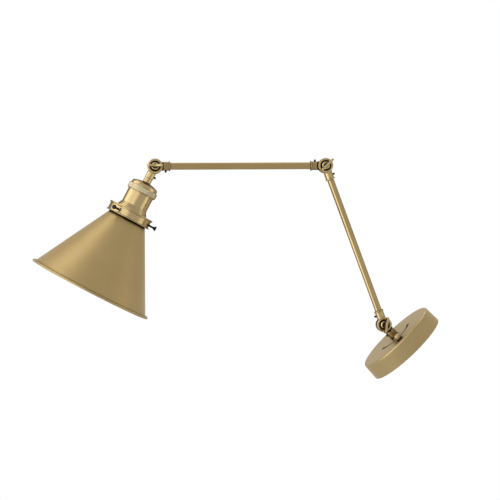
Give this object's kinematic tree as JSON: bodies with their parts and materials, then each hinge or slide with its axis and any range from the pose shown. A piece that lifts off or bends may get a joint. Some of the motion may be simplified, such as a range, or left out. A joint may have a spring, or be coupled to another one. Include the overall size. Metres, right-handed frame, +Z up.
{
  "type": "adjustable wall lamp",
  "caption": "Wall lamp on a round canopy, with a jointed tube arm, locking wing-screw knuckles and a conical shade.",
  "frame": {"origin": "centre of the wall fixing, on the wall plane", "axes": "+Y into the wall, -Y out into the room, +Z up; the arm lies in the plane x = 0 at rest"},
  "size_m": [0.1866, 0.4757, 0.4155],
  "materials": {
    "antique_brass": "satin",
    "black_steel": "satin",
    "zinc_steel": "satin",
    "fibre": "matt",
    "nickel_shell": "satin",
    "ceramic": "gloss",
    "terminal_plastic": "matt"
  },
  "bodies": {
    "wall_plate": {"wall_bar": "zinc_steel", "canopy_bar": "zinc_steel", "bar_rivet": "zinc_steel", "canopy_studs": "zinc_steel", "stud_locknuts": "zinc_steel", "terminal_block": "terminal_plastic", "terminal_screws": "antique_brass", "earth_screw": "antique_brass", "wall_canopy": "antique_brass", "canopy_cap_nuts": "antique_brass"},
    "swivel_post": {"pan_nipple": "antique_brass", "pan_fibre_washer": "fibre", "pan_stop_plate": "zinc_steel", "pan_stop_pin": "zinc_steel", "pan_wave_washer": "zinc_steel", "pan_locknut": "antique_brass", "base_post": "antique_brass", "post_set_screw": "black_steel", "base_friction_washer": "fibre"},
    "lower_arm": {"base_knuckle": "antique_brass", "lower_arm_tube": "antique_brass", "elbow_front_knuckle": "antique_brass", "lower_arm_set_screws": "black_steel"},
    "upper_arm": {"elbow_back_knuckle": "antique_brass", "upper_arm_tube": "antique_brass", "head_back_knuckle": "antique_brass", "upper_arm_set_screws": "black_steel", "elbow_friction_washer": "fibre", "head_friction_washer": "fibre"},
    "head": {"head_knuckle": "antique_brass", "head_set_screw": "black_steel", "neck_collar": "antique_brass", "holder_nipple": "antique_brass", "holder_locknut": "antique_brass", "holder_cap": "antique_brass", "knurled_band": "antique_brass", "holder_shell": "antique_brass", "shade_gallery": "antique_brass", "gallery_ring_nut": "antique_brass", "lamp_insulator": "ceramic", "lamp_screw_shell": "nickel_shell", "centre_contact": "antique_brass", "holder_terminal_screws": "antique_brass", "shade": "antique_brass"},
    "wing_base": {"wing_screw_base": "antique_brass"},
    "wing_elbow": {"wing_screw_elbow": "antique_brass"},
    "wing_head": {"wing_screw_head": "antique_brass"},
    "thumb_1": {"gallery_screw_1": "black_steel"},
    "thumb_2": {"gallery_screw_2": "black_steel"},
    "thumb_3": {"gallery_screw_3": "black_steel"}
  },
  "joints": [
    {"name": "pan", "type": "hinge", "parent": "wall_plate", "child": "swivel_post", "pos_m": [0, -0.0257, 0], "axis": [0, -1, 0], "range_deg": [-83, 83]},
    {"name": "base_tilt", "type": "hinge", "parent": "swivel_post", "child": "lower_arm", "pos_m": [0, -0.0497, 0], "axis": [-1, 0, 0], "range_deg": [-113.6, 66.4]},
    {"name": "elbow", "type": "hinge", "parent": "lower_arm", "child": "upper_arm", "pos_m": [0, -0.27879, 0.10009], "axis": [1, 0, 0], "range_deg": [-175.2, 34.8]},
    {"name": "head_tilt", "type": "hinge", "parent": "upper_arm", "child": "head", "pos_m": [0, -0.45056, -0.08156], "axis": [-1, 0, 0], "range_deg": [-43.2, 166.8]},
    {"name": "wing_screw_base_turn", "type": "hinge", "parent": "swivel_post", "child": "wing_base", "pos_m": [0, -0.0497, 0], "axis": [1, 0, 0], "range_deg": [0, 180]},
    {"name": "wing_screw_elbow_turn", "type": "hinge", "parent": "upper_arm", "child": "wing_elbow", "pos_m": [0, -0.27879, 0.10009], "axis": [1, 0, 0], "range_deg": [0, 180]},
    {"name": "wing_screw_head_turn", "type": "hinge", "parent": "upper_arm", "child": "wing_head", "pos_m": [0, -0.45056, -0.08156], "axis": [1, 0, 0], "range_deg": [0, 180]},
    {"name": "gallery_screw_1_turn", "type": "hinge", "parent": "head", "child": "thumb_1", "pos_m": [0.00228, -0.39417, -0.14774], "axis": [0.0698, 0.9466, 0.3149], "range_deg": [0, 360]},
    {"name": "gallery_screw_2_turn", "type": "hinge", "parent": "head", "child": "thumb_2", "pos_m": [0.02711, -0.44247, -0.16381], "axis": [0.829, -0.5306, -0.1765], "range_deg": [0, 360]},
    {"name": "gallery_screw_3_turn", "type": "hinge", "parent": "head", "child": "thumb_3", "pos_m": [-0.02939, -0.43872, -0.16256], "axis": [-0.8988, -0.416, -0.1384], "range_deg": [0, 360]}
  ]
}
